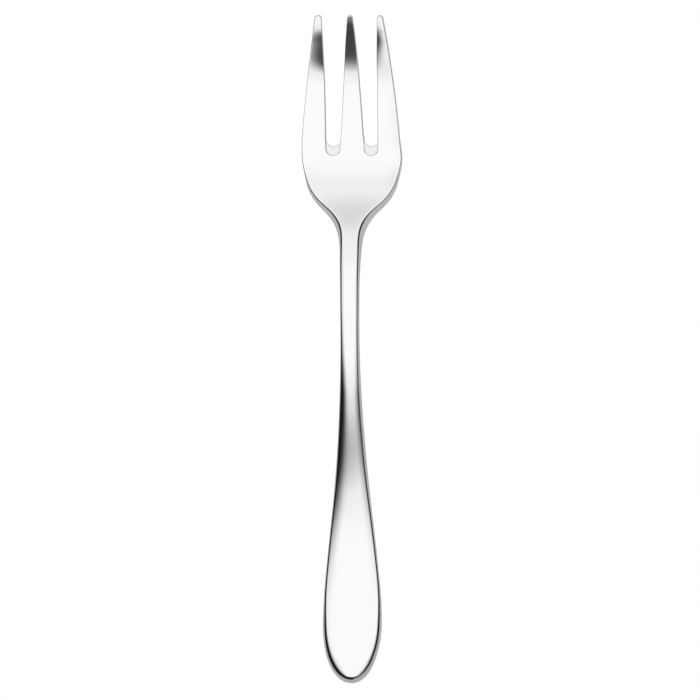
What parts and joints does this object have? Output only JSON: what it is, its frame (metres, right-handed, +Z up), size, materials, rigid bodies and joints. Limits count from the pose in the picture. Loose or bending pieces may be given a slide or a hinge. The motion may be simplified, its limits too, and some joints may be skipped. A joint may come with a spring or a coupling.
{
  "type": "oyster fork",
  "caption": "Polished steel oyster fork with a rounded teardrop handle, slim arched neck, dished head and short tapering upcurved tines.",
  "frame": {"origin": "middle of the bounding box, on the table that the fork lies on", "axes": "+Y from the handle's end to the tips, +Z up from the table with the tines curving up, +X to the right"},
  "size_m": [0.0226, 0.1502, 0.0101],
  "materials": {
    "polished_steel": "mirror-polished stainless steel"
  },
  "bodies": {
    "root": {"fork": "polished_steel"}
  },
  "joints": []
}
